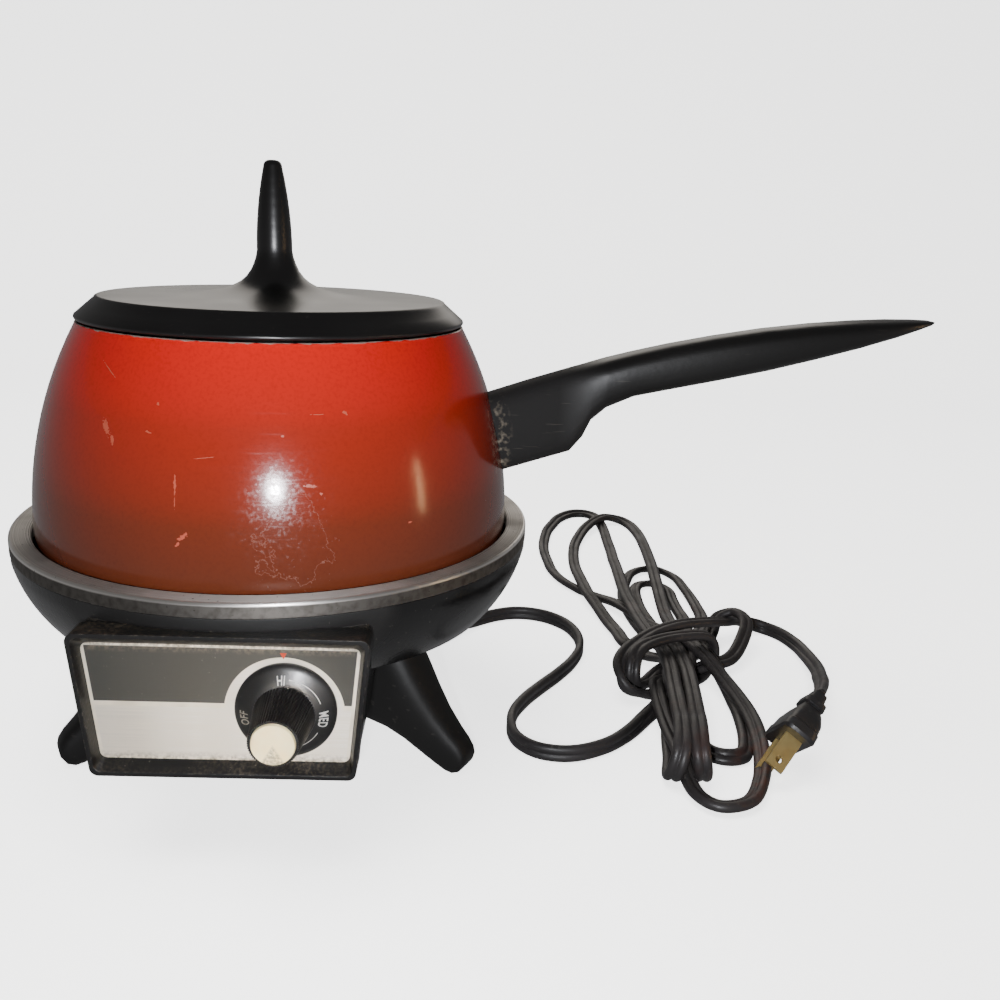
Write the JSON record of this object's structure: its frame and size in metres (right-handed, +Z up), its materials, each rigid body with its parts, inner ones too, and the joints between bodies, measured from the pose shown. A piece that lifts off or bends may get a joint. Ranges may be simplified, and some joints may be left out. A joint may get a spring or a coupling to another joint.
{
  "type": "electric fondue pot",
  "caption": "Enamelled fondue pot with a long handle and a finial lid, standing in a heater base with a thermostat box, curved legs and a flat mains lead.",
  "frame": {"origin": "on the table, directly under the pot's vertical axis", "axes": "+Z up along the pot's axis, -Y towards the control box at the front, +X along the pot handle"},
  "size_m": [0.3725, 0.455, 0.2387],
  "materials": {
    "black_moulding": "satin black moulded thermoset",
    "red_enamel": "worn red-orange enamel shading to brown",
    "brushed_ring": "spun ring with a dull worn side",
    "black_housing": "matt black moulded thermoset, dusty",
    "cast_plate": "cast and rolled aluminium",
    "element_sheath": "heat-darkened sheath",
    "plain_steel": "zinc plated",
    "faceplate": "brushed sheet with a printed grey field",
    "ceramic_case": "steatite",
    "brass_parts": "dull brass",
    "knob_plastic": "gloss black",
    "spun_cap": "spun",
    "wire_insulation": "plain",
    "cord_rubber": "matt charcoal"
  },
  "bodies": {
    "base": {"trim_ring": "brushed_ring", "base_shell": "black_housing", "hot_plate": "cast_plate", "heating_element": "element_sheath", "element_tabs": "plain_steel", "element_straps": "plain_steel", "strap_screws": "plain_steel", "plate_posts": "plain_steel", "post_screws": "plain_steel", "heat_shield": "cast_plate", "stand": "black_housing", "stand_screws": "plain_steel", "bottom_cover": "black_housing", "cover_screw": "plain_steel", "bezel": "black_housing", "bezel_screws": "plain_steel", "faceplate": "faceplate", "thermostat_case": "ceramic_case", "thermostat_bushing": "brass_parts", "thermostat_nut": "plain_steel", "thermostat_tabs": "plain_steel", "sensor_bulb": "brass_parts", "lead_live": "wire_insulation", "lead_neutral": "wire_insulation", "lead_load": "wire_insulation", "strain_relief": "cord_rubber", "cord_lead": "cord_rubber", "cord_hank": "cord_rubber", "cord_tail": "cord_rubber", "plug_body": "cord_rubber", "plug_blades": "brass_parts"},
    "pot": {"pot_shell": "red_enamel", "handle_bracket": "plain_steel", "pot_handle": "black_moulding", "handle_screw": "plain_steel"},
    "lid": {"lid": "black_moulding"},
    "dial": {"knob": "knob_plastic", "knob_cap": "spun_cap", "thermostat_shaft": "plain_steel"}
  },
  "joints": [
    {"name": "pot_lift", "type": "slide", "parent": "base", "child": "pot", "axis": [0, 0, 1], "range_m": [0, 0.15]},
    {"name": "lid_lift", "type": "slide", "parent": "pot", "child": "lid", "axis": [0, 0, 1], "range_m": [0, 0.12]},
    {"name": "dial_turn", "type": "hinge", "parent": "base", "child": "dial", "pos_m": [0.021, -0.108, 0.0596], "axis": [0, -1, 0], "range_deg": [0, 260]}
  ]
}
